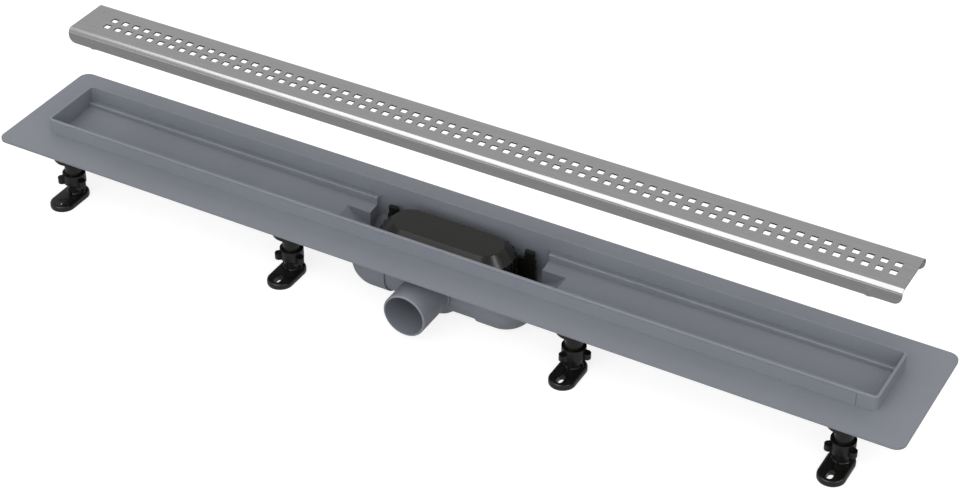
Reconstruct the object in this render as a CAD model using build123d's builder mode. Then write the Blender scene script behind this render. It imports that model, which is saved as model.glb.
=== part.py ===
from build123d import *
import os

os.makedirs("parts", exist_ok=True)

# Linear channel drain: moulded tray on eight screw feet, folded sheet grate, lift-out bell trap.
# X runs along the channel, the outlet points to -Y and Z is up.
# The origin is on the floor under the middle of the tray. The grate is drawn lifted off its seat.

# Heights of the whole drain
deck = 66.5                 # top face of the flange above the floor, feet half way out
grate_lift = 94.0           # how far the grate is raised above its seat
grate_shift_x = 9.4         # how far it has moved along the channel on the way up
grate_shift_y = 17.4        # and towards the wall side

# Flange and rim
flange_length = 930.0
flange_width = 140.0
flange_thickness = 2.2
flange_corner = 10.0
rim_length = 858.0
rim_width = 70.0
rim_height = 14.4
rim_corner = 5.0
rim_top_round = 0.8
tray_wall = 2.5
band_proud = 0.8            # raised band along the outside of the two long rim walls
band_end_inset = 19.0
band_top_drop = 2.2

# Trough, whose floor falls from each end to the sump
ledge_width = 7.0           # shelf inside the rim that the grate stands on
floor_depth_end = 4.2       # flange top to the floor's edge at the far end
floor_depth_sump = 7.4
floor_dish = 2.4            # how much lower the middle line of the floor is
ledge_nose = 1.8            # rounding where the ledge turns down into the trough

# Sump
sump_length = 182.0
sump_depth = 60.0           # flange top to the inner floor
sump_corner = 6.0           # upright corners of the well at the top
sump_bowl_corner = 26.0     # and of the bowl at the bottom
sump_floor_round = 22.0
sump_well_drop = 22.0       # flange top to where the well starts to turn into the bowl
sump_bowl_drop = 36.0       # and to where it has become the bowl
sump_swell = 1.6            # the two ends of the sump stand out this far from its middle
sump_swell_start = 47.0
scoop_width = 25.0          # spillway in the trough floor beside the sump
scoop_reach = 26.0
scoop_drop = 17.0
scoop_brim_drop = 3.0

# Outlet
outlet_diameter = 43.0
outlet_wall = 1.9
outlet_reach = 79.0         # middle line of the tray to the mouth
outlet_drop = 34.6          # flange top to the axis
outlet_chamfer = 0.7
boss_diameter = 60.0        # round swelling of the sump behind the spigot
boss_reach = 28.5
boss_round = 2.0
root_diameter = 46.0        # thicker root of the spigot where it leaves the sump
root_proud = 3.0            # how far it stands out of the sump's side
root_round = 1.0

# Grate, one folded sheet
sheet = 1.5
grate_end_gap = 6.5         # to the inner face of the rim at each end
grate_side_gap = 5.0
bend_radius = 3.2           # outside radius of the long bends
skirt_corner = 7.0
hole_size = 6.5
hole_pitch = 12.4
hole_row_spacing = 12.1
hole_columns = 65
hole_end_margin = 12.8      # last hole to the right-hand end, the plain end is on the left
nub_inset = 28.0            # pressed locating nub near each end of the skirts
nub_radius = 2.6
nub_proud = 1.1
nub_top_drop = 5.0

# Trap bell
bell_rise = 8.4             # its flat top above the flange
bell_top_length = 113.0
bell_bevel_run = 10.0
bell_bevel_height = 9.9
bell_top_width = 34.0
bell_skirt_drop = 32.0      # flange top to the lower edge of the skirt
bell_wall = 2.0
bell_top_round = 1.0
bell_notch_gap = 1.0        # round the spigot of the trap body
bell_rib = 2.0
bell_ribs = 3
bell_rib_spacing = 30.0
fin_width = 1.2             # upright fins round the two ends of the skirt
fin_proud = 1.2
fin_count = 9
fin_angle = 18.0

# Trap body: weir cup, spigot, and a lifting strap at each end
cup_length = 76.0
cup_width = 42.0
cup_corner = 12.0
cup_floor_round = 6.0
cup_wall = 2.2
cup_floor_gap = 1.5         # height of the studs that stand it on the sump's floor
cup_stud_diameter = 6.0
cup_stud_spacing_x = 50.0
cup_stud_spacing_y = 14.0
weir_drop = 14.0            # flange top to the weir's edge
spigot_gap = 0.6            # radial play in the outlet's bore
spigot_wall = 3.2
spigot_lead = 1.0
seal_section = 2.4
seal_inset = 5.0            # inner side of the sump to the seal
seal_margin = 4.5           # seal to the end of the trap's spigot
seal_gap = 0.2
arm_drop = 35.0             # flange top to the upper face of the strap arms
arm_thickness = 3.0
arm_joint = 6.0             # length of arm along the flat side of the cup
strap_width = 18.0          # along the channel
strap_thickness = 3.0
strap_end = 78.0            # middle of the trap to the outer edge of a strap
strap_y = 24.5
strap_drop = 12.0           # flange top to the strap's shoulder
tab_width = 10.0
tab_thickness = 4.5
tab_drop = 3.1
tab_inset = 1.0             # outer edge of the strap to the tab
tab_round = 1.5

# Screw feet
leg_x = (-404.0, -149.0, 149.0, 404.0)
leg_y = 35.0
bridge_width = 35.0
bridge_plate = 4.0
bridge_drop = 18.0          # flange top to the upper face of the bridge
bridge_edge_round = 0.8
beam_width = 30.0
beam_half_span = 22.5
beam_wall = 3.0
beam_drop = 43.0
beam_round = 3.0
pad_length = 46.0           # box under the trough that the bridge plugs into
pad_width = 30.0
pad_corner = 3.0
plug_gap = 0.2
plug_height = 4.0
plug_wall = 2.5
sleeve_diameter = 17.0
sleeve_drop = 42.0
sleeve_gap = 0.3            # radial play of the spindle in the sleeve
groove_depth = 0.5
groove_lift = 1.2           # sleeve end to the snap groove
groove_height = 1.6
gusset_thickness = 3.0
gusset_clear = 1.5          # above the nut's collar
spindle_diameter = 10.0
spindle_drop = 24.0
spindle_chamfer = 1.0
key_width = 1.8
key_depth = 0.9
key_gap = 0.3
key_foot = 1.0              # the keyway stops this far above the neck
nut_diameter = 22.6
nut_height = 8.0
nut_gap = 0.08              # running play on the sleeve and on the spindle
nut_lip = 1.2
nut_lobe_reach = 16.2
nut_lobe_width = 8.0
nut_lobe_height = 6.0
nut_lobes = 3
nut_turns = (222.0, 220.0, 246.0, 214.0)    # where the nut of each foot stopped
foot_width = 25.5
foot_reach = 33.6           # spindle axis to the toe
foot_thickness = 5.5
foot_round = 2.4
slot_length = 11.6
slot_width = 5.8
slot_offset = 24.0
neck_diameter = 16.0        # round the spindle, up to just under the nut
neck_height = 8.0
neck_foot_round = 1.6
socket_floor = 2.0          # plastic left under the spindle
rib_thickness = 1.8         # four small ribs at the foot of the neck
rib_reach = 10.4
rib_height = 2.2

# Worked out from the above
flange_bottom = deck - flange_thickness
rim_top = deck + rim_height
rim_inner_length = rim_length - 2 * tray_wall
rim_inner_width = rim_width - 2 * tray_wall
trough_half_length = rim_inner_length / 2
trough_half_width = rim_inner_width / 2 - ledge_width
sump_half_length = sump_length / 2
sump_floor = deck - sump_depth
well_bottom = deck - sump_well_drop
bowl_top = deck - sump_bowl_drop
outlet_z = deck - outlet_drop
outlet_bore = outlet_diameter - 2 * outlet_wall
bridge_top = deck - bridge_drop
bridge_bottom = bridge_top - bridge_plate
beam_bottom = deck - beam_drop
sleeve_bottom = deck - sleeve_drop
groove_bottom = sleeve_bottom + groove_lift
nut_bottom = sleeve_bottom - nut_height
grate_length = rim_inner_length - 2 * grate_end_gap
grate_width = rim_inner_width - 2 * grate_side_gap
grate_seat = deck + grate_lift
bell_top = deck + bell_rise
bell_shoulder = bell_top - bell_bevel_height
bell_length = bell_top_length + 2 * bell_bevel_run
bell_width = bell_top_width + 2 * bell_bevel_run
spigot_diameter = outlet_bore - 2 * spigot_gap
weir_top = deck - weir_drop
root_reach = rim_inner_width / 2 + tray_wall + root_proud
seal_distance = rim_inner_width / 2 + seal_inset
spigot_reach = seal_distance + seal_margin
strap_x = strap_end - strap_width / 2
tab_x = strap_end - tab_inset - tab_width / 2
arm_near = cup_length / 2 - cup_corner - arm_joint
arm_inner = cup_width / 2 - cup_wall
arm_outer = strap_y + strap_thickness / 2


def trough_section(x, half_width, top, drop):
    """Cross-section of the trough at x: straight sides and a dished floor."""
    along = (abs(x) - sump_half_length) / (trough_half_length - sump_half_length)
    edge = deck - drop - floor_depth_sump + (floor_depth_sump - floor_depth_end) * along
    with BuildSketch(Plane(origin=(x, 0, 0), x_dir=(0, 1, 0), z_dir=(1, 0, 0))) as section:
        with BuildLine():
            Polyline((-half_width, edge), (-half_width, top), (half_width, top), (half_width, edge))
            ThreePointArc((half_width, edge), (0, edge - floor_dish), (-half_width, edge))
        make_face()
    return section.sketch


def sump_form(grow, top):
    """Sump grown outwards by grow: a square-cornered well that turns into a round bowl."""
    length = sump_length + 2 * grow
    width = rim_inner_width + 2 * grow
    with BuildPart() as form:
        with BuildSketch(Plane.XY.offset(sump_floor - grow)):
            RectangleRounded(length, width, sump_bowl_corner + grow)
        extrude(amount=bowl_top - sump_floor + grow)
        fillet(form.faces().sort_by(Axis.Z)[0].edges(), radius=sump_floor_round + grow)
        with BuildSketch(Plane.XY.offset(bowl_top)):
            RectangleRounded(length, width, sump_bowl_corner + grow)
        with BuildSketch(Plane.XY.offset(well_bottom)):
            RectangleRounded(length, width, sump_corner + grow)
        loft(ruled=True)
        with BuildSketch(Plane.XY.offset(well_bottom)):
            RectangleRounded(length, width, sump_corner + grow)
        extrude(amount=top - well_bottom)
    return form.part


def sump_ends():
    """The two ends of the sump's outside, which stand out a little from its middle."""
    with BuildPart() as ends:
        add(sump_form(tray_wall + sump_swell, flange_bottom))
        with BuildSketch(Plane.XY):
            Rectangle(2 * sump_swell_start, flange_width)
        extrude(amount=deck, mode=Mode.SUBTRACT)
    return ends.part


def cup_form(shrink):
    """Weir cup of the trap body, shrunk on its sides and floor by shrink."""
    bottom = sump_floor + cup_floor_gap + shrink
    with BuildPart() as form:
        with BuildSketch(Plane.XY.offset(bottom)):
            RectangleRounded(cup_length - 2 * shrink, cup_width - 2 * shrink, cup_corner - shrink)
        extrude(amount=weir_top - bottom)
        fillet(form.faces().sort_by(Axis.Z)[0].edges(), radius=cup_floor_round - shrink)
    return form.part


def scoop_form(side, grow):
    """Spillway that falls from the trough floor into the sump, grown outwards by grow."""
    near = side * (sump_half_length - tray_wall)
    far = side * (sump_half_length + scoop_reach + grow)
    brim = deck - floor_depth_sump
    low = brim - scoop_drop - grow
    with BuildPart() as form:
        with BuildSketch(Plane.XZ) as ramp:
            with BuildLine():
                Polyline((far, brim - grow), (far, deck - scoop_brim_drop),
                         (near, deck - scoop_brim_drop), (near, low))
                ThreePointArc((near, low), ((near + far) / 2, (brim + 2 * low) / 3 - grow),
                              (far, brim - grow))
            make_face()
        extrude(amount=scoop_width / 2 + grow, both=True)
    return form.part


# Tray

with BuildPart() as channel_tray:
    with BuildSketch(Plane.XY.offset(flange_bottom)):
        RectangleRounded(flange_length, flange_width, flange_corner)
    extrude(amount=flange_thickness)
    for side in (-1, 1):
        loft([trough_section(side * sump_half_length, trough_half_width + tray_wall,
                             deck, tray_wall),
              trough_section(side * (trough_half_length + tray_wall),
                             trough_half_width + tray_wall, deck, tray_wall)], ruled=True)
        add(scoop_form(side, tray_wall))
    add(sump_form(tray_wall, deck))
    add(sump_ends())

    # boxes that the four foot bridges plug into
    with BuildSketch(Plane.XY.offset(bridge_top)):
        with Locations(*[(x, 0) for x in leg_x]):
            RectangleRounded(pad_width, pad_length, pad_corner)
    extrude(amount=bridge_drop - flange_thickness)

    # rim, with its raised band
    with BuildSketch(Plane.XY.offset(deck)):
        RectangleRounded(rim_length, rim_width, rim_corner)
    extrude(amount=rim_height)
    fillet(channel_tray.faces().sort_by(Axis.Z)[-1].edges(), radius=rim_top_round)
    with BuildSketch(Plane.XY.offset(deck)):
        Rectangle(rim_length - 2 * band_end_inset, rim_width + 2 * band_proud)
    extrude(amount=rim_height - band_top_drop)

    # boss and outlet spigot
    with BuildSketch(Plane.XZ):
        with Locations((0, outlet_z)):
            Circle(boss_diameter / 2)
    extrude(amount=boss_reach)
    fillet(channel_tray.faces().filter_by(Axis.Y).filter_by(
        lambda f: abs(f.center().Y + boss_reach) < 0.01).edges(), radius=boss_round)
    with BuildSketch(Plane.XZ):
        with Locations((0, outlet_z)):
            Circle(root_diameter / 2)
    extrude(amount=root_reach)
    fillet(channel_tray.faces().filter_by(Axis.Y).filter_by(
        lambda f: abs(f.center().Y + root_reach) < 0.01).edges(), radius=root_round)
    with BuildSketch(Plane.XZ):
        with Locations((0, outlet_z)):
            Circle(outlet_diameter / 2)
    extrude(amount=outlet_reach)
    chamfer(channel_tray.faces().sort_by(Axis.Y)[0].edges(), length=outlet_chamfer)

    # openings
    with BuildSketch(Plane.XY.offset(deck)):
        RectangleRounded(rim_inner_length, rim_inner_width, rim_corner - tray_wall)
    extrude(amount=rim_height, mode=Mode.SUBTRACT)
    for side in (-1, 1):
        loft([trough_section(side * sump_half_length, trough_half_width, rim_top, 0),
              trough_section(side * trough_half_length, trough_half_width, rim_top, 0)],
             ruled=True, mode=Mode.SUBTRACT)
        add(scoop_form(side, 0), mode=Mode.SUBTRACT)
    add(sump_form(0, rim_top), mode=Mode.SUBTRACT)
    with BuildSketch(Plane.XZ):
        with Locations((0, outlet_z)):
            Circle(outlet_bore / 2)
    extrude(amount=outlet_reach, mode=Mode.SUBTRACT)
    with BuildSketch(Plane.XY.offset(bridge_top)):
        with Locations(*[(x, 0) for x in leg_x]):
            RectangleRounded(pad_width - 2 * tray_wall, pad_length - 2 * tray_wall,
                             pad_corner - tray_wall / 2)
    extrude(amount=plug_height, mode=Mode.SUBTRACT)

    # rounded noses of the four lengths of ledge
    noses = channel_tray.edges().filter_by(
        lambda e: abs(e.center().Z - deck) < 0.01
        and abs(abs(e.center().Y) - trough_half_width) < 0.01)
    fillet(noses, radius=ledge_nose)

channel_tray.part.label = "channel_tray"
export_step(channel_tray.part, "parts/channel_tray.step")

# Grate, drawn at its seat and then moved to where it is held

grate_place = Location((grate_shift_x, grate_shift_y, grate_lift))
skirt_half = grate_width / 2

with BuildPart() as seated_grate:
    with BuildSketch(Plane.YZ.offset(-grate_length / 2)) as fold:
        with Locations((0, deck + rim_height / 2)):
            Rectangle(grate_width, rim_height)
        fillet(fold.vertices().sort_by(Axis.Y)[-2:], radius=bend_radius)
        with BuildSketch(Plane.XY, mode=Mode.SUBTRACT) as hollow:
            with Locations((0, deck + (rim_height - sheet) / 2)):
                Rectangle(grate_width - 2 * sheet, rim_height - sheet)
            fillet(hollow.vertices().sort_by(Axis.Y)[-2:], radius=bend_radius - sheet)
    extrude(amount=grate_length)
    lower_corners = seated_grate.edges().filter_by(Axis.Y).filter_by(
        lambda e: abs(e.center().Z - deck) < 0.01)
    fillet(lower_corners, radius=skirt_corner)
    with BuildSketch(Plane.XY.offset(deck)):
        with Locations(*[(x * (grate_length / 2 - nub_inset), y * (skirt_half + nub_proud - nub_radius))
                         for x in (-1, 1) for y in (-1, 1)]):
            Circle(nub_radius)
    extrude(amount=rim_height - nub_top_drop)
    with BuildSketch(Plane.XY.offset(deck)):
        with Locations(*[(x * (grate_length / 2 - nub_inset), y * (skirt_half + nub_proud - nub_radius))
                         for x in (-1, 1) for y in (-1, 1)]):
            Circle(nub_radius - nub_proud)
    extrude(amount=rim_height - nub_top_drop - sheet, mode=Mode.SUBTRACT)
    with BuildSketch(Plane.XY.offset(deck)):
        Rectangle(grate_length, grate_width - 2 * sheet)
    extrude(amount=rim_height - bend_radius, mode=Mode.SUBTRACT)
    first_hole = grate_length / 2 - hole_end_margin - hole_size / 2 - (hole_columns - 1) * hole_pitch / 2
    with BuildSketch(Plane.XY.offset(rim_top)):
        with Locations((first_hole, 0)):
            with GridLocations(hole_pitch, hole_row_spacing, hole_columns, 2):
                Rectangle(hole_size, hole_size)
    extrude(amount=-sheet, mode=Mode.SUBTRACT)

with BuildPart() as grate:
    add(seated_grate.part.moved(grate_place))

grate.part.label = "grate"
export_step(grate.part, "parts/grate.step")

# Trap bell

with BuildPart() as trap_bell:
    with BuildSketch(Plane.XY.offset(deck - bell_skirt_drop)):
        SlotOverall(bell_length, bell_width)
    extrude(amount=bell_shoulder - deck + bell_skirt_drop)
    with BuildSketch(Plane.XY.offset(bell_shoulder)):
        SlotOverall(bell_length, bell_width)
    with BuildSketch(Plane.XY.offset(bell_top)):
        SlotOverall(bell_top_length, bell_top_width)
    loft(ruled=True)
    with BuildSketch(Plane.XY.offset(deck - bell_skirt_drop)):
        SlotOverall(bell_length - 2 * bell_wall, bell_width - 2 * bell_wall)
    extrude(amount=bell_shoulder - deck + bell_skirt_drop, mode=Mode.SUBTRACT)
    with BuildSketch(Plane.XY.offset(bell_shoulder)):
        SlotOverall(bell_length - 2 * bell_wall, bell_width - 2 * bell_wall)
    with BuildSketch(Plane.XY.offset(bell_top - bell_wall)):
        SlotOverall(bell_top_length - 2 * bell_wall, bell_top_width - 2 * bell_wall)
    loft(ruled=True, mode=Mode.SUBTRACT)
    # fins round the ends
    with BuildSketch(Plane.XY.offset(deck - bell_skirt_drop)):
        for side in (-1, 1):
            with Locations((side * (bell_length - bell_width) / 2, 0)):
                with PolarLocations(bell_width / 2 - bell_wall / 2 + fin_proud / 2, fin_count,
                                    start_angle=90 - side * 90 - fin_angle * (fin_count - 1) / 2,
                                    angular_range=fin_angle * (fin_count - 1), endpoint=True):
                    Rectangle(bell_wall + fin_proud, fin_width)
    extrude(amount=bell_shoulder - deck + bell_skirt_drop)
    # ribs that stand the bell on the weir's edge
    with BuildSketch(Plane.XY.offset(weir_top)):
        with GridLocations(bell_rib_spacing, 1, bell_ribs, 1):
            Rectangle(bell_rib, bell_width - bell_wall)
    extrude(amount=bell_shoulder - weir_top)
    # notch over the spigot
    with BuildSketch(Plane.XZ):
        with Locations((0, outlet_z)):
            Circle(spigot_diameter / 2 + bell_notch_gap)
    extrude(amount=bell_width, mode=Mode.SUBTRACT)
    fillet(trap_bell.faces().sort_by(Axis.Z)[-1].outer_wire().edges(), radius=bell_top_round)

trap_bell.part.label = "trap_bell"
export_step(trap_bell.part, "parts/trap_bell.step")

# Trap body

with BuildPart() as trap_body:
    add(cup_form(0))
    with BuildSketch(Plane.XY.offset(sump_floor)):
        with GridLocations(cup_stud_spacing_x, cup_stud_spacing_y, 2, 2):
            Circle(cup_stud_diameter / 2)
    extrude(amount=cup_floor_gap)
    with BuildSketch(Plane.XZ):
        with Locations((0, outlet_z)):
            Circle(spigot_diameter / 2)
    extrude(amount=spigot_reach)
    chamfer(trap_body.faces().sort_by(Axis.Y)[0].edges(), length=spigot_lead)
    for side in (-1, 1):
        with BuildSketch(Plane.XY.offset(deck - arm_drop - arm_thickness)):
            with Locations((side * (arm_near + strap_end) / 2, (arm_inner + arm_outer) / 2)):
                Rectangle(strap_end - arm_near, arm_outer - arm_inner)
        extrude(amount=arm_thickness)
        with BuildSketch(Plane.XY.offset(deck - arm_drop)):
            with Locations((side * strap_x, strap_y)):
                Rectangle(strap_width, strap_thickness)
        extrude(amount=arm_drop - strap_drop)
        with BuildSketch(Plane.XY.offset(deck - strap_drop)):
            with Locations((side * tab_x, strap_y)):
                RectangleRounded(tab_width, tab_thickness, tab_round)
        extrude(amount=strap_drop - tab_drop)
    add(cup_form(cup_wall), mode=Mode.SUBTRACT)
    with BuildSketch(Plane.XZ):
        with Locations((0, outlet_z)):
            Circle(spigot_diameter / 2 - spigot_wall)
    extrude(amount=spigot_reach, mode=Mode.SUBTRACT)
    # groove for the seal
    with BuildSketch(Plane.YZ) as groove:
        with Locations((-seal_distance, outlet_z + outlet_bore / 2 - seal_section / 2)):
            Rectangle(seal_section + 2 * seal_gap, seal_section)
    revolve(axis=Axis((0, 0, outlet_z), (0, 1, 0)), mode=Mode.SUBTRACT)

trap_body.part.label = "trap_body"
export_step(trap_body.part, "parts/trap_body.step")

with BuildPart() as trap_seal:
    with BuildSketch(Plane.YZ):
        with Locations((-seal_distance, outlet_z + outlet_bore / 2 - seal_section / 2)):
            Circle(seal_section / 2)
    revolve(axis=Axis((0, 0, outlet_z), (0, 1, 0)))

trap_seal.part.label = "trap_seal"
export_step(trap_seal.part, "parts/trap_seal.step")

# Foot bridges: one moulding across the tray carries a front foot and a rear foot

for number, centre_x in enumerate(leg_x, 1):
    with BuildPart() as bridge:
        with BuildSketch(Plane.XY.offset(bridge_bottom)):
            with Locations((centre_x, 0)):
                SlotOverall(2 * leg_y + bridge_width, bridge_width, rotation=90)
        extrude(amount=bridge_plate)
        fillet(bridge.faces().sort_by(Axis.Z)[0].edges(), radius=bridge_edge_round)
        with BuildSketch(Plane.XY.offset(beam_bottom)):
            with Locations((centre_x, 0)):
                RectangleRounded(beam_width, 2 * beam_half_span, beam_round)
                RectangleRounded(beam_width - 2 * beam_wall, 2 * (beam_half_span - beam_wall),
                                 beam_round / 2, mode=Mode.SUBTRACT)
                Rectangle(beam_width, beam_wall)
                Rectangle(beam_wall, 2 * beam_half_span)
        extrude(amount=bridge_bottom - beam_bottom)
        with BuildSketch(Plane.XY.offset(bridge_top)):
            with Locations((centre_x, 0)):
                RectangleRounded(pad_width - 2 * (tray_wall + plug_gap),
                                 pad_length - 2 * (tray_wall + plug_gap), pad_corner / 2)
                RectangleRounded(pad_width - 2 * (tray_wall + plug_gap + plug_wall),
                                 pad_length - 2 * (tray_wall + plug_gap + plug_wall),
                                 pad_corner / 4, mode=Mode.SUBTRACT)
        extrude(amount=plug_height - plug_gap)
        with BuildSketch(Plane.XY.offset(sleeve_bottom)):
            with Locations((centre_x, -leg_y), (centre_x, leg_y)):
                Circle(sleeve_diameter / 2)
        extrude(amount=bridge_bottom - sleeve_bottom)
        with BuildSketch(Plane.XY.offset(groove_bottom + groove_height + gusset_clear)):
            with Locations((centre_x, -(leg_y + beam_half_span) / 2),
                           (centre_x, (leg_y + beam_half_span) / 2)):
                Rectangle(gusset_thickness, leg_y - beam_half_span)
        extrude(amount=bridge_bottom - groove_bottom - groove_height - gusset_clear)
        # bores with their keys, and the snap grooves for the nuts
        with BuildSketch(Plane.XY.offset(sleeve_bottom)):
            for y in (-leg_y, leg_y):
                with Locations((centre_x, y)):
                    Circle(spindle_diameter / 2 + sleeve_gap)
            with Locations((centre_x, -leg_y + spindle_diameter / 2 + sleeve_gap - key_depth / 2),
                           (centre_x, leg_y - spindle_diameter / 2 - sleeve_gap + key_depth / 2)):
                Rectangle(key_width, key_depth, mode=Mode.SUBTRACT)
        extrude(amount=bridge_top - sleeve_bottom, mode=Mode.SUBTRACT)
        with BuildSketch(Plane.XY.offset(groove_bottom)):
            for y in (-leg_y, leg_y):
                with Locations((centre_x, y)):
                    Circle(sleeve_diameter / 2)
                    Circle(sleeve_diameter / 2 - groove_depth, mode=Mode.SUBTRACT)
        extrude(amount=groove_height, mode=Mode.SUBTRACT)
    bridge.part.label = f"foot_bridge_{number}"
    export_step(bridge.part, f"parts/foot_bridge_{number}.step")

# Screw feet, front row first: nut, spindle and foot plate of each

nut_bore = spindle_diameter / 2 + nut_gap
lip_bottom = groove_bottom + nut_gap
lip_top = groove_bottom + groove_height - nut_gap
neck_top = foot_thickness + neck_height

for row, side in (("front", -1), ("rear", 1)):
    for number, (centre_x, turn) in enumerate(zip(leg_x, nut_turns), 1):
        name = f"{row}_{number}"
        centre_y = side * leg_y

        with BuildPart() as nut:
            with BuildSketch(Plane(origin=(centre_x, centre_y, 0), x_dir=(1, 0, 0),
                                   z_dir=(0, -1, 0))):
                with BuildLine():
                    Polyline((nut_bore, nut_bottom), (nut_diameter / 2, nut_bottom),
                             (nut_diameter / 2, lip_top),
                             (sleeve_diameter / 2 - groove_depth + nut_gap, lip_top),
                             (sleeve_diameter / 2 - groove_depth + nut_gap, lip_bottom),
                             (sleeve_diameter / 2 + nut_gap, lip_bottom),
                             (sleeve_diameter / 2 + nut_gap, sleeve_bottom - nut_gap),
                             (nut_bore, sleeve_bottom - nut_gap), close=True)
                make_face()
            revolve(axis=Axis((centre_x, centre_y, 0), (0, 0, 1)))
            with BuildSketch(Plane.XY.offset(nut_bottom)):
                with Locations((centre_x, centre_y)):
                    with PolarLocations(nut_lobe_reach / 2, nut_lobes, start_angle=side * -turn):
                        SlotOverall(nut_lobe_reach, nut_lobe_width)
                    Circle(nut_diameter / 2 - nut_lip, mode=Mode.SUBTRACT)
            extrude(amount=nut_lobe_height)
        nut.part.label = f"foot_nut_{name}"
        export_step(nut.part, f"parts/foot_nut_{name}.step")

        with BuildPart() as spindle:
            with BuildSketch(Plane.XY.offset(socket_floor)):
                with Locations((centre_x, centre_y)):
                    Circle(spindle_diameter / 2)
            extrude(amount=deck - spindle_drop - socket_floor)
            chamfer(spindle.faces().sort_by(Axis.Z)[-1].edges(), length=spindle_chamfer)
            with BuildSketch(Plane.XY.offset(neck_top + key_foot)):
                with Locations((centre_x, centre_y - side * (spindle_diameter - key_depth) / 2)):
                    Rectangle(key_width + 2 * key_gap, key_depth + key_gap)
            extrude(amount=deck, mode=Mode.SUBTRACT)
        spindle.part.label = f"spindle_{name}"
        export_step(spindle.part, f"parts/spindle_{name}.step")

        with BuildPart() as plate:
            with BuildSketch(Plane.XY):
                with Locations((centre_x, centre_y + side * (foot_reach - foot_width / 2) / 2)):
                    SlotOverall(foot_reach + foot_width / 2, foot_width, rotation=90)
            extrude(amount=foot_thickness)
            fillet(plate.faces().sort_by(Axis.Z)[-1].edges(), radius=foot_round)
            with BuildSketch(Plane.XY.offset(foot_thickness)):
                with Locations((centre_x, centre_y)):
                    Circle(neck_diameter / 2)
            extrude(amount=neck_height)
            fillet(plate.edges().filter_by(GeomType.CIRCLE).filter_by(
                lambda e: abs(e.center().Z - foot_thickness) < 0.01), radius=neck_foot_round)
            with BuildSketch(Plane.XY.offset(foot_thickness)):
                with Locations((centre_x, centre_y)):
                    Rectangle(2 * rib_reach, rib_thickness)
                    Rectangle(rib_thickness, 2 * rib_reach)
            extrude(amount=rib_height)
            with BuildSketch(Plane.XY.offset(socket_floor)):
                with Locations((centre_x, centre_y)):
                    Circle(spindle_diameter / 2)
            extrude(amount=neck_top, mode=Mode.SUBTRACT)
            with BuildSketch(Plane.XY):
                with Locations((centre_x, centre_y + side * slot_offset)):
                    SlotOverall(slot_length, slot_width, rotation=90)
            extrude(amount=foot_thickness, mode=Mode.SUBTRACT)
        plate.part.label = f"foot_plate_{name}"
        export_step(plate.part, f"parts/foot_plate_{name}.step")
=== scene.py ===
"""Looks of the channel drain: its finishes, grate, threads and the plain studio around it."""

import logging
from dataclasses import dataclass, field
from enum import Enum
from math import cos, pi, radians, sin
from typing import Iterable, Optional, Sequence

import bpy
import numpy as np
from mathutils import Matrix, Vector


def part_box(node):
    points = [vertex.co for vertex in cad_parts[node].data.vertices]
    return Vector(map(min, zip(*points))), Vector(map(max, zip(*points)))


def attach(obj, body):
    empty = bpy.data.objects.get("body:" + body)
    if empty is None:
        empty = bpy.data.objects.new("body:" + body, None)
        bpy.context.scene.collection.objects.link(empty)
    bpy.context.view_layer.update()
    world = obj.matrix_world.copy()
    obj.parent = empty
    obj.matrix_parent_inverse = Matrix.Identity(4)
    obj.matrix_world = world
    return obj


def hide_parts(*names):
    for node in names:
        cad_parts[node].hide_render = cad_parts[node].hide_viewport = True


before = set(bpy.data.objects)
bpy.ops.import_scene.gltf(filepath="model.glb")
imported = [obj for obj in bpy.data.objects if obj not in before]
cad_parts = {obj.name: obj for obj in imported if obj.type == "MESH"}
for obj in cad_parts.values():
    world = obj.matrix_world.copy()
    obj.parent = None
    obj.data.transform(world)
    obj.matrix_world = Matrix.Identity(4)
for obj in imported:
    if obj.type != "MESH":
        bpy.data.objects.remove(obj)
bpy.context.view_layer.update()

LOG = logging.getLogger("channel_drain")
MM = 0.001
SHEET_UV = "sheet"
NOISE_DARK, NOISE_LIGHT = 0.3, 0.7      # between these lies nearly all of a noise
WHITE = (1.0, 1.0, 1.0, 1.0)
Colour = tuple[float, float, float]


class Grain(Enum):
    """Direction in which a finish is drawn out."""

    EVEN = (1.0, 1.0, 1.0)
    ALONG_CHANNEL = (0.02, 1.0, 1.0)


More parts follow.
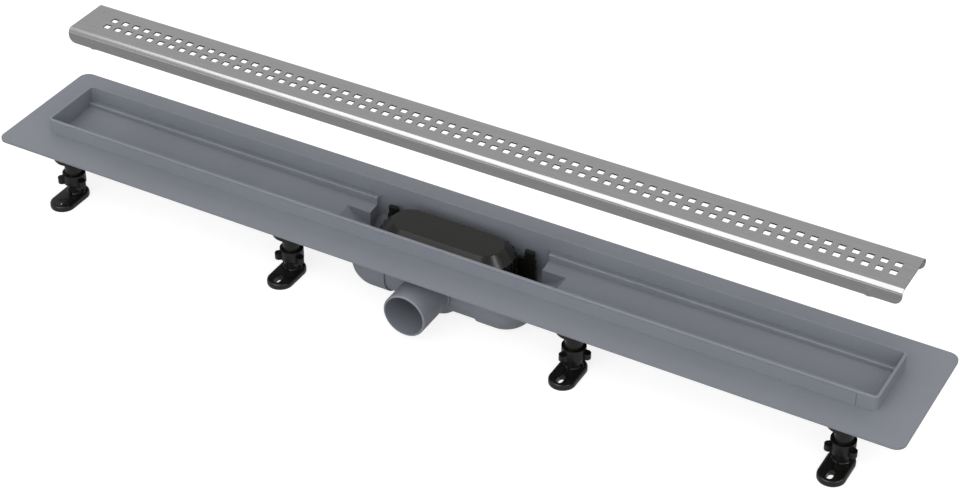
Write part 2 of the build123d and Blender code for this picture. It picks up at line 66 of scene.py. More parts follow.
class NodeDesk:
    """A material's node tree with short calls for the nodes that the finishes use."""

    def __init__(self, name: str) -> None:
        """Makes a new material and keeps its shader and output.

        Args:
            name: the material's name in Blender.
        """
        self.material = bpy.data.materials.new(name)
        self.material.use_nodes = True
        self.tree = self.material.node_tree
        self.shader = self.tree.nodes["Principled BSDF"]
        self.output = self.tree.nodes["Material Output"]

    def add(self, kind: str, **settings: object) -> bpy.types.Node:
        """Adds a node and sets its properties.

        Args:
            kind: the node's Blender type name.
            settings: property names and values.

        Returns:
            The new node.
        """
        node = self.tree.nodes.new(kind)
        for key, value in settings.items():
            setattr(node, key, value)
        return node

    def link(self, source: bpy.types.NodeSocket, target: bpy.types.NodeSocket) -> None:
        """Joins an output socket to an input socket."""
        self.tree.links.new(source, target)

    def noise(self, scale: float, detail: float, grain: Grain = Grain.EVEN) -> bpy.types.NodeSocket:
        """Noise on Object coordinates, drawn out along the grain.

        Args:
            scale: pattern repeats per metre.
            detail: octaves of the noise.
            grain: how the pattern is drawn out.

        Returns:
            The noise's value, 0 to 1 and about 0.5 on average.
        """
        place = self.add("ShaderNodeTexCoord")
        mapping = self.add("ShaderNodeMapping")
        mapping.inputs["Scale"].default_value = grain.value
        noise = self.add("ShaderNodeTexNoise")
        noise.inputs["Scale"].default_value = scale
        noise.inputs["Detail"].default_value = detail
        self.link(place.outputs["Object"], mapping.inputs["Vector"])
        self.link(mapping.outputs["Vector"], noise.inputs["Vector"])
        return noise.outputs["Fac"]

    def spread(self, value: bpy.types.NodeSocket, low: float, high: float) -> bpy.types.NodeSocket:
        """Maps the middle of a noise, from its dark to its light end, onto low to high.

        Args:
            value: the noise.
            low: what its dark end becomes.
            high: what its light end becomes.

        Returns:
            The mapped value.
        """
        ramp = self.add("ShaderNodeMapRange")
        ramp.inputs["From Min"].default_value = NOISE_DARK
        ramp.inputs["From Max"].default_value = NOISE_LIGHT
        ramp.inputs["To Min"].default_value = low
        ramp.inputs["To Max"].default_value = high
        self.link(value, ramp.inputs["Value"])
        return ramp.outputs["Result"]

    def blend(self, value: bpy.types.NodeSocket, first: Colour,
              second: Colour) -> bpy.types.NodeSocket:
        """Mixes two colours.

        Args:
            value: 0 for the first colour alone, 1 for the second.
            first: the colour at 0.
            second: the colour at 1.

        Returns:
            The mixed colour.
        """
        mix = self.add("ShaderNodeMix", data_type="RGBA")
        mix.inputs["A"].default_value = (*first, 1.0)
        mix.inputs["B"].default_value = (*second, 1.0)
        self.link(value, mix.inputs["Factor"])
        return mix.outputs["Result"]

    def lay_brush_along(self, uv_map: str) -> None:
        """Points the shader's tangent along the first axis of a UV map."""
        tangent = self.add("ShaderNodeTangent", direction_type="UV_MAP", uv_map=uv_map)
        self.link(tangent.outputs["Tangent"], self.shader.inputs["Tangent"])

    def bump(self, height: bpy.types.NodeSocket, strength: float,
             distance: float) -> bpy.types.NodeSocket:
        """A bump from a height value.

        Args:
            height: the value, 0 to 1.
            strength: share of the bump that shows.
            distance: depth from 0 to 1, in metres.

        Returns:
            The bent normal.
        """
        bump = self.add("ShaderNodeBump")
        bump.inputs["Strength"].default_value = strength
        bump.inputs["Distance"].default_value = distance
        self.link(height, bump.inputs["Height"])
        return bump.outputs["Normal"]


def shade(colour: Colour, factor: float) -> Colour:
    """The colour made darker or lighter by a factor."""
    red, green, blue = colour
    return red * factor, green * factor, blue * factor


@dataclass(frozen=True)
class MouldedPlastic:
    """Moulded plastic: faint flow marks in colour and gloss over a fine moulded grain.

    Flow and wear are shares by which colour and roughness go either way. A scale is repeats
    per metre, and a depth is in metres, as in the other finishes.
    """

    name: str
    colour: Colour
    flow: float
    roughness: float
    grain_depth: float
    specular: float = 0.5
    wear: float = 0.12
    flow_scale: float = 14.0
    wear_scale: float = 90.0
    grain_scale: float = 1400.0
    grain_strength: float = 0.25

    def material(self) -> bpy.types.Material:
        """Builds the plastic's material.

        Returns:
            The new material.
        """
        desk = NodeDesk(self.name)
        flow = desk.noise(scale=self.flow_scale, detail=4.0)
        colour = desk.blend(desk.spread(flow, 0.0, 1.0), shade(self.colour, 1.0 - self.flow),
                            shade(self.colour, 1.0 + self.flow))
        desk.link(colour, desk.shader.inputs["Base Color"])
        wear = desk.noise(scale=self.wear_scale, detail=3.0)
        gloss = desk.spread(wear, self.roughness * (1.0 - self.wear),
                            self.roughness * (1.0 + self.wear))
        desk.link(gloss, desk.shader.inputs["Roughness"])
        desk.shader.inputs["Specular IOR Level"].default_value = self.specular
        grain = desk.noise(scale=self.grain_scale, detail=2.0)
        normal = desk.bump(grain, strength=self.grain_strength, distance=self.grain_depth)
        desk.link(normal, desk.shader.inputs["Normal"])
        return desk.material


@dataclass(frozen=True)
class BrushedSteel:
    """Brushed stainless sheet: long fine lines along the channel in colour, gloss and bump."""

    name: str
    colour: Colour
    roughness: float
    anisotropy: float
    tone: float = 0.10
    wear: float = 0.15
    line_scale: float = 2200.0
    line_strength: float = 0.35
    line_depth: float = 0.02 * MM
    band_scale: float = 130.0

    def material(self) -> bpy.types.Material:
        """Builds the steel's material.

        Returns:
            The new material.
        """
        desk = NodeDesk(self.name)
        lines = desk.noise(scale=self.line_scale, detail=4.0, grain=Grain.ALONG_CHANNEL)
        bands = desk.noise(scale=self.band_scale, detail=3.0, grain=Grain.ALONG_CHANNEL)
        colour = desk.blend(desk.spread(lines, 0.0, 1.0), shade(self.colour, 1.0 - self.tone),
                            shade(self.colour, 1.0 + self.tone))
        desk.link(colour, desk.shader.inputs["Base Color"])
        gloss = desk.spread(bands, self.roughness * (1.0 - self.wear),
                            self.roughness * (1.0 + self.wear))
        desk.link(gloss, desk.shader.inputs["Roughness"])
        desk.shader.inputs["Metallic"].default_value = 1.0
        desk.shader.inputs["Anisotropic"].default_value = self.anisotropy
        desk.lay_brush_along(SHEET_UV)
        normal = desk.bump(lines, strength=self.line_strength, distance=self.line_depth)
        desk.link(normal, desk.shader.inputs["Normal"])
        return desk.material


@dataclass(frozen=True)
class SealRubber:
    """Matt black rubber with a dusty bloom."""

    name: str
    colour: Colour
    dusty: Colour
    roughness: float
    bloom_scale: float = 260.0
    bloom_strength: float = 0.2
    bloom_depth: float = 0.05 * MM

    def material(self) -> bpy.types.Material:
        """Builds the rubber's material.

        Returns:
            The new material.
        """
        desk = NodeDesk(self.name)
        bloom = desk.noise(scale=self.bloom_scale, detail=3.0)
        desk.link(desk.blend(desk.spread(bloom, 0.0, 1.0), self.colour, self.dusty),
                  desk.shader.inputs["Base Color"])
        desk.shader.inputs["Roughness"].default_value = self.roughness
        normal = desk.bump(bloom, strength=self.bloom_strength, distance=self.bloom_depth)
        desk.link(normal, desk.shader.inputs["Normal"])
        return desk.material


TRAY_PLASTIC = MouldedPlastic("tray_plastic", (0.180, 0.192, 0.218), flow=0.035,
                              roughness=0.46, grain_depth=0.03 * MM)
TRAP_PLASTIC = MouldedPlastic("trap_plastic", (0.010, 0.010, 0.0085), flow=0.08,
                              roughness=0.26, grain_depth=0.02 * MM, specular=0.32)
FOOT_PLASTIC = MouldedPlastic("foot_plastic", (0.006, 0.006, 0.0055), flow=0.08,
                              roughness=0.26, grain_depth=0.02 * MM)
STEEL = BrushedSteel("grate_steel", (0.50, 0.493, 0.493), roughness=0.20, anisotropy=0.35)
# Cut edges of the sheet: rougher, duller steel, with a colour darkened well below the sheet's as
# painted shade on the hole walls and edges.
CUT_EDGE_AND_SHADE = BrushedSteel("cut_edge_and_painted_shade", (0.17, 0.165, 0.165), roughness=0.42, anisotropy=0.0)
RUBBER = SealRubber("seal_rubber", (0.015, 0.015, 0.015), dusty=(0.037, 0.037, 0.037),
                    roughness=0.72)


def grid_faces(rows: int, columns: int, ring: bool = False) -> np.ndarray:
    """Quads of a grid of points numbered row by row.

    Args:
        rows: points along the first parameter.
        columns: points along the second parameter.
        ring: whether the last column joins the first.

    Returns:
        Point numbers, four to a quad.
    """
    first = np.arange(rows - 1)[:, None] * columns
    here = np.arange(columns if ring else columns - 1)
    after = (here + 1) % columns
    corners = [first + here, first + after, first + columns + after, first + columns + here]
    return np.stack([np.broadcast_to(c, (rows - 1, here.size)) for c in corners], -1).reshape(-1, 4)


def open_edges(faces: np.ndarray) -> np.ndarray:
    """Finds the rim of a surface and of its holes: the edges that only one quad uses.

    An edge from a to b is numbered a times the count of points plus b. It is open where no quad
    has the number of the edge from b to a.

    Args:
        faces: quads, as point numbers.

    Returns:
        Pairs of point numbers, in the direction in which the quad runs.
    """
    edges = np.stack([faces, np.roll(faces, -1, axis=1)], -1).reshape(-1, 2)
    span = faces.max() + 1
    there = edges[:, 0] * span + edges[:, 1]
    back = edges[:, 1] * span + edges[:, 0]
    return edges[~np.isin(there, back)]


def make_piece(name: str, points: np.ndarray, faces: Sequence[np.ndarray],
               material: bpy.types.Material, body: str, stands_for: Sequence[str],
               crease: float = 38.0, uv: Optional[np.ndarray] = None,
               last_material: Optional[bpy.types.Material] = None) -> bpy.types.Object:
    """Makes one piece of the drain from whole arrays and gives it to its body.

    Args:
        name: the object's name.
        points: corners in metres, in the row's frame.
        faces: arrays of quads or of triangles.
        material: its finish.
        body: the moving body that carries it.
        stands_for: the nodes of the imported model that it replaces.
        crease: edges sharper than this angle, in degrees, stay hard.
        uv: one flat coordinate pair for each point, where the finish needs it.
        last_material: finish of the last array of faces, where it has its own.

    Returns:
        The new object.
    """
    mesh = bpy.data.meshes.new(name)
    mesh.vertices.add(len(points))
    mesh.vertices.foreach_set("co", points.astype(np.float32).ravel())
    corners = np.concatenate([part.ravel() for part in faces])
    sides = np.concatenate([np.full(len(part), part.shape[1]) for part in faces])
    mesh.loops.add(len(corners))
    mesh.loops.foreach_set("vertex_index", corners.astype(np.int32))
    mesh.polygons.add(len(sides))
    mesh.polygons.foreach_set("loop_start", (np.cumsum(sides) - sides).astype(np.int32))
    mesh.update(calc_edges=True)
    if uv is not None:
        layer = mesh.uv_layers.new(name=SHEET_UV)
        layer.data.foreach_set("uv", uv[corners].astype(np.float32).ravel())
    mesh.validate()
    mesh.shade_smooth()
    mesh.set_sharp_from_angle(angle=radians(crease))
    mesh.materials.append(material)
    if last_material is not None:
        mesh.materials.append(last_material)
        pick = (np.arange(len(sides)) >= len(sides) - len(faces[-1])).astype(np.int32)
        mesh.polygons.foreach_set("material_index", pick)
    piece = bpy.data.objects.new(name, mesh)
    bpy.context.scene.collection.objects.link(piece)
    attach(piece, body)
    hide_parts(*stands_for)
    LOG.info("%s made, %d faces", name, len(sides))
    return piece


def dress(node_names: Iterable[str], material: bpy.types.Material) -> None:
    """Puts one material on every slot of the named nodes.

    Args:
        node_names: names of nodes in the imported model.
        material: the finish they take.
    """
    for name in node_names:
        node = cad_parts[name]
        if not node.material_slots:
            node.data.materials.append(material)
        for slot in node.material_slots:
            slot.material = material
        LOG.info("%s dressed in %s", name, material.name)


@dataclass
class Tray:
    """The moulded tray and the bridges that its feet hang from."""

    tray_nodes: tuple[str, ...] = ("channel_tray",)
    bridges: int = 4

    def build(self) -> None:
        """Dresses the tray and its bridges."""
        dress(self.tray_nodes, TRAY_PLASTIC.material())
        dress([f"foot_bridge_{n}" for n in range(1, self.bridges + 1)], FOOT_PLASTIC.material())


@dataclass
class Trap:
    """Bell, body and seal of the lift-out trap."""

    moulded: tuple[str, ...] = ("trap_bell", "trap_body")
    seal: str = "trap_seal"

    def build(self) -> None:
        """Dresses the trap's pieces."""
        dress(self.moulded, TRAP_PLASTIC.material())
        dress([self.seal], RUBBER.material())


@dataclass
class Grate:
    """The folded sheet grate, worked out in the flat and then folded.

    Lengths are in metres. Steps are stretches between two points, points are counted with both
    ends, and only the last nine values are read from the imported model.
    """

    node: str = "grate"
    sheet: float = 1.5 * MM
    bend_radius: float = 5.2 * MM
    skirt_corner: float = 7.0 * MM
    hole: float = 6.5 * MM
    hole_corner: float = 0.6 * MM
    hole_lip: float = 0.05 * MM
    pitch: float = 12.4 * MM
    row_pitch: float = 12.1 * MM
    columns: int = 65
    end_margin: float = 12.8 * MM
    nub_inset: float = 28.0 * MM
    nub_radius: float = 4.0 * MM
    nub_proud: float = 1.1 * MM
    nub_top_drop: float = 7.5 * MM
    nub_ramp: float = 4.0 * MM
    straight_steps: int = 4
    corner_steps: int = 2
    top_points: int = 3
    bend_points: int = 9
    skirt_points: int = 9
    skirt_corner_points: int = 9
    left_end_points: int = 10
    right_end_points: int = 4
    weld_grid: float = 0.01 * MM
    weld_shift: float = 0.3
    middle: np.ndarray = field(init=False)
    top: float = field(init=False)
    height: float = field(init=False)
    half_length: float = field(init=False)
    half_width: float = field(init=False)
    flat_half: float = field(init=False)
    arc: float = field(init=False)
    block_middle: float = field(init=False)
    block_half: float = field(init=False)

    def __post_init__(self) -> None:
        """Reads the grate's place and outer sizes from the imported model."""
        low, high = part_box(self.node)
        self.middle = np.array([(low.x + high.x) / 2, (low.y + high.y) / 2])
        self.top = high.z
        self.half_length = (high.x - low.x) / 2
        self.half_width = (high.y - low.y) / 2 - self.nub_proud
        self.height = high.z - low.z
        self.flat_half = self.half_width - self.bend_radius
        self.arc = self.bend_radius * pi / 2
        block = (self.columns - 1) * self.pitch / 2
        self.block_middle = self.half_length - self.end_margin - self.hole / 2 - block
        self.block_half = block + self.pitch / 2

    def build(self) -> None:
        """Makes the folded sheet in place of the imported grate."""
        flat, depth, faces = self.weld([self.cells(), *self.plain_bands()])
        count = len(flat)
        outer = self.fold(flat, depth)
        inner = self.fold(flat, np.full(count, self.sheet))
        rim = open_edges(faces)
        walls = np.stack([rim[:, 1], rim[:, 0], rim[:, 0] + count, rim[:, 1] + count], -1)
        points = np.concatenate([outer, inner])
        steel = STEEL.material()
        dress([self.node], steel)
        make_piece("folded_grate", points, [faces, faces[:, ::-1] + count, walls], steel, "grate",
                   [self.node], uv=np.concatenate([flat, flat]),
                   last_material=CUT_EDGE_AND_SHADE.material())

    def along_one_side(self, half: float, corner: float) -> np.ndarray:
        """Offsets along one side of a rounded square, from the middle of one corner to the next.

        Each corner gives half of its quarter circle, and the straight stretch between is even.

        Args:
            half: half the side of the square.
            corner: radius of its corners.

        Returns:
            Pairs (distance along the side, distance in from the side).
        """
        turn = np.linspace(pi / 4, 0.0, self.corner_steps + 1)
        start = np.stack([-half + corner - corner * np.sin(turn),
                          corner - corner * np.cos(turn)], -1)
        flat = np.linspace(-half + corner, half - corner, self.straight_steps + 1)[1:-1]
        middle = np.stack([flat, np.zeros_like(flat)], -1)
        end = start[::-1] * (-1.0, 1.0)
        return np.concatenate([start, middle, end])[:-1]

    def cells(self) -> tuple[np.ndarray, np.ndarray, np.ndarray]:
        """The sheet round every hole: a rounded square, its lip, and the oblong cell about it.

        Returns:
            Flat places, depths below the outer face, and quads.
        """
        steps = 2 * self.corner_steps + self.straight_steps
        even = np.linspace(-1.0, 1.0, steps + 1)[:-1]
        rings = []
        for half, corner in ((self.hole / 2, self.hole_corner),
                             (self.hole / 2 + self.hole_lip, self.hole_corner + self.hole_lip)):
            side = self.along_one_side(half, corner)
            along, inward = side[:, 0], half - side[:, 1]
            rings.append(np.concatenate([np.stack(pair, -1) for pair in (
                (along, -inward), (inward, along), (-along, inward), (-inward, -along))]))
        wide, high = self.pitch / 2, self.row_pitch / 2
        ones = np.ones_like(even)
        rings.append(np.concatenate([np.stack(pair, -1) for pair in (
            (even * wide, -high * ones), (wide * ones, even * high),
            (-even * wide, high * ones), (-wide * ones, -even * high))]))
        cell = np.concatenate(rings)
        one = grid_faces(len(rings), len(rings[0]), ring=True)
        u = self.block_middle + (np.arange(self.columns) - (self.columns - 1) / 2) * self.pitch
        v = np.array([-high, high])
        centres = np.stack(np.meshgrid(u, v, indexing="ij"), -1).reshape(-1, 1, 2)
        flat = (centres + cell).reshape(-1, 2)
        depth = np.tile(np.repeat([self.hole_lip, 0.0, 0.0], len(rings[0])), len(centres))
        shift = np.arange(len(centres))[:, None, None] * len(cell)
        return flat, depth, (one[None] + shift).reshape(-1, 4)[:, ::-1]

    def plain_bands(self) -> list[tuple[np.ndarray, np.ndarray, np.ndarray]]:
        """The sheet without holes: its two ends, and the two sides with bend and skirt.

        Returns:
            Flat places, depths and quads of each band.
        """
        steps = 2 * self.corner_steps + self.straight_steps
        block = self.block_middle + np.linspace(-1, 1, steps * self.columns + 1) * self.block_half
        corner = self.skirt_corner * (1.0 - np.cos(np.linspace(0.0, pi / 2,
                                                               self.skirt_corner_points)))
        straight = self.half_length - self.skirt_corner
        left = np.concatenate([-self.half_length + corner,
                               np.linspace(-straight, block[0], self.left_end_points)[1:-1]])
        right = np.concatenate([np.linspace(block[-1], straight, self.right_end_points)[1:-1],
                                (self.half_length - corner)[::-1]])
        across_block = np.linspace(-1, 1, 2 * steps + 1) * self.row_pitch
        bands = [self.band(np.append(left, block[0]), across_block),
                 self.band(np.insert(right, 0, block[-1]), across_block)]
        along = np.concatenate([left, block, right])
        for side in (-1.0, 1.0):
            top = np.linspace(self.row_pitch, self.flat_half, self.top_points)
            bend = self.flat_half + np.linspace(0.0, self.arc, self.bend_points)[1:]
            bands.append(self.band(along, side * np.concatenate([top, bend])))
            bands.append(self.skirt(along, side))
        return bands

    def skirt(self, along: np.ndarray, side: float) -> tuple[np.ndarray, np.ndarray, np.ndarray]:
        """One skirt, whose lower edge rises at the ends in quarter circles.

        The rise is the corner's radius less the root of its square, less the square of how far
        a place lies inside the corner.

        Args:
            along: places along the sheet.
            side: -1 for the front skirt, 1 for the rear one.

        Returns:
            Flat places, depths and quads.
        """
        inside = self.skirt_corner - np.clip(self.half_length - np.abs(along), 0.0,
                                             self.skirt_corner)
        rise = self.skirt_corner - np.sqrt(self.skirt_corner ** 2 - inside ** 2)
        drop = self.height - self.bend_radius - rise
        share = np.linspace(0.0, 1.0, self.skirt_points)
        v = self.flat_half + self.arc + drop[:, None] * share
        u = np.broadcast_to(along[:, None], v.shape)
        flat = np.stack([u, side * v], -1).reshape(-1, 2)
        faces = grid_faces(len(along), self.skirt_points)
        return flat, np.zeros(len(flat)), faces if side < 0 else faces[:, ::-1]

    @staticmethod
    def band(along: np.ndarray, across: np.ndarray) -> tuple[np.ndarray, np.ndarray, np.ndarray]:
        """A plain oblong of the flat sheet, facing outwards.

        Args:
            along: places along the sheet.
            across: places across it, rising or falling.

        Returns:
            Flat places, depths and quads.
        """
        flat = np.stack(np.meshgrid(along, across, indexing="ij"), -1).reshape(-1, 2)
        faces = grid_faces(len(along), len(across))
        return flat, np.zeros(len(flat)), faces if across[-1] < across[0] else faces[:, ::-1]

    def weld(self, parts: Sequence[tuple[np.ndarray, np.ndarray, np.ndarray]]
             ) -> tuple[np.ndarray, np.ndarray, np.ndarray]:
        """Joins the parts of the flat sheet where their points meet.

        Points that fall in the same square of a fine grid are one point. The grid is shifted a
        little, so that meeting points don't lie on a line of it.

        Args:
            parts: flat places, depths and quads of each part.

        Returns:
            Flat places, depths and quads of the whole sheet.
        """
        flat = np.concatenate([part[0] for part in parts])
        depth = np.concatenate([part[1] for part in parts])
        starts = np.cumsum([0] + [len(part[0]) for part in parts[:-1]])
        faces = np.concatenate([part[2] + start for part, start in zip(parts, starts)])
        key = np.floor(flat / self.weld_grid + self.weld_shift).astype(np.int64)
        _, keep, where = np.unique(key, axis=0, return_index=True, return_inverse=True)
        return flat[keep], depth[keep], where.reshape(-1)[faces]

    def fold(self, flat: np.ndarray, depth: np.ndarray) -> np.ndarray:
        """Folds the flat sheet.

        Up to the bend the sheet is level. Through the bend it turns by distance over radius,
        and past it the rest hangs straight down. A nub pushes the skirt out by a raised cosine.

        Args:
            flat: distance along and across the sheet, from its middle.
            depth: distance below the outer face.

        Returns:
            Places in the row's frame.
        """
        u, v = flat[:, 0], flat[:, 1]
        past = np.abs(v) - self.flat_half
        turn = np.clip(past, 0.0, self.arc) / self.bend_radius
        radius = self.bend_radius - depth
        hang = np.maximum(past - self.arc, 0.0)
        out = np.minimum(np.abs(v), self.flat_half) + radius * np.sin(turn)
        down = self.bend_radius - radius * np.cos(turn) + hang
        near = np.abs(np.abs(u) - (self.half_length - self.nub_inset)) / self.nub_radius
        ridge = 0.5 + 0.5 * np.cos(pi * np.minimum(near, 1.0))
        ramp = np.clip((down - self.nub_top_drop) / self.nub_ramp + 0.5, 0.0, 1.0)
        out = out + self.nub_proud * ridge * ramp
        x = self.middle[0] + u
        y = self.middle[1] + np.sign(v) * out
        return np.stack([x, y, self.top - down], -1)


@dataclass
class ScrewFeet:
    """The eight screw feet: nuts, threaded spindles and foot plates.

    Lengths are in metres. The thread's flat is the share of its wave that is cut off at the
    crest, and again at the root.
    """

    rows: tuple[str, ...] = ("front", "rear")
    per_row: int = 4
    lead: float = 2.0 * MM
    thread_depth: float = 0.62 * MM
    thread_flat: float = 0.25
    steps_per_turn: int = 8
    points_round: int = 46
    key_points: int = 4
    end_chamfer: float = 1.0 * MM
    key_half_width: float = 1.2 * MM
    key_floor: float = 3.95 * MM

    def build(self) -> None:
        """Dresses nuts and plates, and makes every spindle with its thread."""
        plastic = FOOT_PLASTIC.material()
        names = [(row, number) for row in self.rows for number in range(1, self.per_row + 1)]
        dress([f"{piece}_{row}_{number}" for piece in ("foot_nut", "spindle", "foot_plate")
               for row, number in names], plastic)
        for row, number in names:
            tag = f"{row}_{number}"
            key_angle = pi / 2 if row == "front" else -pi / 2
            points, faces = self.spindle(f"spindle_{tag}", key_angle)
            make_piece(f"threaded_spindle_{tag}", points, faces, plastic, f"foot_{tag}",
                       [f"spindle_{tag}"])

    def spindle(self, node: str, key_angle: float) -> tuple[np.ndarray, list[np.ndarray]]:
        """A right-hand threaded bar with a keyway down one side.

        The thread is cut by a wave of height over lead minus turn, flattened at crest and root.
        It runs out at the top, where the radius falls along the chamfer.

        Args:
            node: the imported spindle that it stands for.
            key_angle: direction of the keyway from the axis, in radians.

        Returns:
            Points, and its quads and triangles.
        """
        low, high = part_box(node)
        middle = ((low.x + high.x) / 2, (low.y + high.y) / 2)
        crest = (high.x - low.x) / 2
        step = self.lead / self.steps_per_turn
        heights = np.arange(low.z, high.z + step / 2, step)
        heights[-1] = high.z
        half_key = np.arcsin(self.key_half_width / crest)
        turn = np.linspace(half_key, 2 * pi - half_key, self.points_round)
        phase = heights[:, None] / self.lead - (turn + key_angle) / (2 * pi)
        wave = np.abs((phase % 1.0) * 2.0 - 1.0)
        slope = (wave - self.thread_flat) / (1.0 - 2.0 * self.thread_flat)
        groove = np.clip(slope, 0.0, 1.0) * self.thread_depth
        end = np.maximum(self.end_chamfer - (high.z - heights), 0.0)[:, None]
        radius = np.minimum(crest - groove, crest - end)
        thread = np.stack([radius * np.cos(turn), radius * np.sin(turn)], -1)
        side = np.linspace(-self.key_half_width, self.key_half_width, self.key_points)
        key = np.stack([np.full(self.key_points, self.key_floor), side], -1)
        slot = np.broadcast_to(key, (len(heights), *key.shape))
        section = np.concatenate([thread, slot], axis=1)
        x = section[..., 0] * cos(key_angle) - section[..., 1] * sin(key_angle) + middle[0]
        y = section[..., 0] * sin(key_angle) + section[..., 1] * cos(key_angle) + middle[1]
        z = np.broadcast_to(heights[:, None], x.shape)
        count = x.shape[1]
        points = np.concatenate([np.stack([x, y, z], -1).reshape(-1, 3),
                                 [(*middle, low.z), (*middle, high.z)]])
        faces = grid_faces(len(heights), count, ring=True)
        here = np.arange(count)
        after = (here + 1) % count
        last = (len(heights) - 1) * count
        foot = np.full(count, len(points) - 2)
        head = np.full(count, len(points) - 1)
        caps = [np.stack([after, here, foot], -1), np.stack([here + last, after + last, head], -1)]
        return points, [faces, np.concatenate(caps)]


@dataclass(frozen=True)
class Card:
    """A level glowing card: its left, front, right and back edge and its height in metres."""

    name: str
    edges: tuple[float, float, float, float]
    height: float
    strength: float


@dataclass(frozen=True)
class Lamp:
    """A square area lamp: where it hangs, its side in metres and its power in watts."""

    name: str
    place: tuple[float, float, float]
    size: float
    power: float


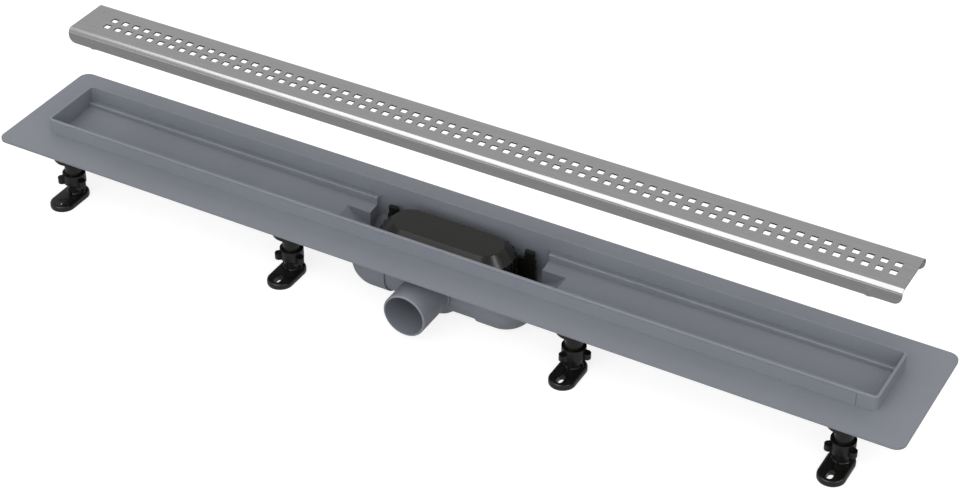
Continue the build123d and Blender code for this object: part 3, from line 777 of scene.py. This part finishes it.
@dataclass
class Studio:
    """Plain pale floor, soft lights and the camera at the photograph's angle.

    The camera's place is in metres, its angles are in degrees, and its lens and sensor in mm.
    """

    floor_half: float = 6.0
    floor_grey: float = 0.34
    floor_glow: float = 0.80
    floor_roughness: float = 0.9
    camera_place: tuple[float, float, float] = (0.8395, -1.4287, 1.2733)
    camera_azimuth: float = 29.42
    camera_elevation: float = 36.20
    lens: float = 84.39
    sensor: float = 36.0
    sky_light: float = 0.96
    sky_reflected: float = 0.58
    cards: tuple[Card, ...] = (
        # A painted reflection: a grey sheet seen only in reflections, which darkens the reflected
        # floor under and in front of the drain.
        Card("painted_reflection_card", (-1.4, -1.3, 1.4, 0.4), height=MM, strength=0.42),
        # Painted highlights: a glowing card seen only in reflections, for the white stripe along
        # the grate's bends and the sheen on its top.
        Card("painted_highlight_card", (-1.9, -5.0, 0.2, 1.3), height=2.6, strength=2.1),
        # Painted highlight: a glowing card seen only in reflections, on rounded faces turned to the
        # right, such as the trap bell's end.
        Card("side_painted_highlight_card", (1.6, -0.6, 3.4, 1.4), height=2.7, strength=8.0),
    )
    lamps: tuple[Lamp, ...] = (
        Lamp("key_lamp", (0.2, -2.8, 1.75), size=3.4, power=62.0),
        Lamp("fill_lamp", (2.4, -1.6, 1.3), size=1.8, power=8.0),
    )

    def build(self) -> None:
        """Makes the floor, the cards, the world, the lamps and the camera."""
        self.floor()
        for card in self.cards:
            self.hang_card(card)
        self.world()
        for lamp in self.lamps:
            self.hang_lamp(lamp)
        self.camera()
        bpy.context.scene.view_settings.view_transform = "Standard"

    def floor(self) -> None:
        """A flat square under the feet, white to the camera where no shadow falls."""
        half = self.floor_half
        mesh = bpy.data.meshes.new("studio_floor")
        corners = [(-half, -half, 0.0), (half, -half, 0.0), (half, half, 0.0), (-half, half, 0.0)]
        mesh.from_pydata(corners, [], [(0, 1, 2, 3)])
        floor = bpy.data.objects.new("studio_floor", mesh)
        bpy.context.scene.collection.objects.link(floor)
        desk = NodeDesk("studio_floor")
        desk.shader.inputs["Base Color"].default_value = (*[self.floor_grey] * 3, 1.0)
        desk.shader.inputs["Roughness"].default_value = self.floor_roughness
        desk.shader.inputs["Specular IOR Level"].default_value = 0.0
        glow = desk.add("ShaderNodeEmission")
        glow.inputs["Color"].default_value = WHITE
        desk.link(self.seen(desk, self.floor_glow), glow.inputs["Strength"])
        both = desk.add("ShaderNodeAddShader")
        desk.link(desk.shader.outputs["BSDF"], both.inputs[0])
        desk.link(glow.outputs["Emission"], both.inputs[1])
        desk.link(both.outputs["Shader"], desk.output.inputs["Surface"])
        mesh.materials.append(desk.material)

    @staticmethod
    def hang_card(plan: Card) -> None:
        """Puts up a level glowing card that only shows as a reflection.

        Args:
            plan: the card's name, place and strength.
        """
        left, front, right, back = plan.edges
        mesh = bpy.data.meshes.new(plan.name)
        corners = [(left, front, plan.height), (right, front, plan.height),
                   (right, back, plan.height), (left, back, plan.height)]
        mesh.from_pydata(corners, [], [(0, 1, 2, 3)])
        card = bpy.data.objects.new(plan.name, mesh)
        bpy.context.scene.collection.objects.link(card)
        card.visible_camera = False
        card.visible_diffuse = False
        card.visible_shadow = False
        card.visible_transmission = False
        desk = NodeDesk(plan.name)
        glow = desk.add("ShaderNodeEmission")
        glow.inputs["Strength"].default_value = plan.strength
        desk.link(glow.outputs["Emission"], desk.output.inputs["Surface"])
        mesh.materials.append(desk.material)

    @staticmethod
    def seen(desk: NodeDesk, strength: float) -> bpy.types.NodeSocket:
        """A glow that camera, glossy and transmission rays see, and no other ray.

        Args:
            desk: the material's nodes.
            strength: how bright it is for those rays.

        Returns:
            The strength for the ray at hand.
        """
        path = desk.add("ShaderNodeLightPath")
        first = desk.add("ShaderNodeMath", operation="MAXIMUM")
        second = desk.add("ShaderNodeMath", operation="MAXIMUM")
        scale = desk.add("ShaderNodeMath", operation="MULTIPLY")
        desk.link(path.outputs["Is Camera Ray"], first.inputs[0])
        desk.link(path.outputs["Is Glossy Ray"], first.inputs[1])
        desk.link(first.outputs["Value"], second.inputs[0])
        desk.link(path.outputs["Is Transmission Ray"], second.inputs[1])
        desk.link(second.outputs["Value"], scale.inputs[0])
        scale.inputs[1].default_value = strength
        return scale.outputs["Value"]

    def world(self) -> None:
        """A pale world: white where it is seen, softer where it is reflected or lights."""
        world = bpy.data.worlds.new("studio_world")
        bpy.context.scene.world = world
        world.use_nodes = True
        tree = world.node_tree
        back = tree.nodes["Background"]
        back.inputs["Color"].default_value = WHITE
        path = tree.nodes.new("ShaderNodeLightPath")
        glossy = tree.nodes.new("ShaderNodeMapRange")
        glossy.inputs["To Min"].default_value = self.sky_light
        glossy.inputs["To Max"].default_value = self.sky_reflected
        pick = tree.nodes.new("ShaderNodeMapRange")
        pick.inputs["To Max"].default_value = 1.0
        tree.links.new(path.outputs["Is Glossy Ray"], glossy.inputs["Value"])
        tree.links.new(glossy.outputs["Result"], pick.inputs["To Min"])
        tree.links.new(path.outputs["Is Camera Ray"], pick.inputs["Value"])
        tree.links.new(pick.outputs["Result"], back.inputs["Strength"])

    @staticmethod
    def hang_lamp(plan: Lamp) -> None:
        """Hangs a lamp that looks at the drain and doesn't show in its reflections.

        Args:
            plan: the lamp's name, place, size and power.
        """
        data = bpy.data.lights.new(plan.name, "AREA")
        data.size = plan.size
        data.energy = plan.power
        lamp = bpy.data.objects.new(plan.name, data)
        lamp.location = plan.place
        lamp.rotation_euler = (-Vector(plan.place)).to_track_quat("-Z", "Y").to_euler()
        lamp.visible_glossy = False
        bpy.context.scene.collection.objects.link(lamp)

    def camera(self) -> None:
        """The camera, at the place and angle worked out from the photograph's edges."""
        data = bpy.data.cameras.new("camera")
        data.lens = self.lens
        data.sensor_width = self.sensor
        camera = bpy.data.objects.new("camera", data)
        camera.location = self.camera_place
        camera.rotation_euler = (radians(90.0 - self.camera_elevation), 0.0,
                                 radians(self.camera_azimuth))
        bpy.context.scene.collection.objects.link(camera)
        bpy.context.scene.camera = camera


def main() -> None:
    """Builds each sub-assembly in turn, then the studio."""
    logging.basicConfig(level=logging.INFO)
    for assembly in (Tray(), Trap(), Grate(), ScrewFeet(), Studio()):
        assembly.build()
        LOG.info("%s built", type(assembly).__name__)


if __name__ == "__main__":
    main()
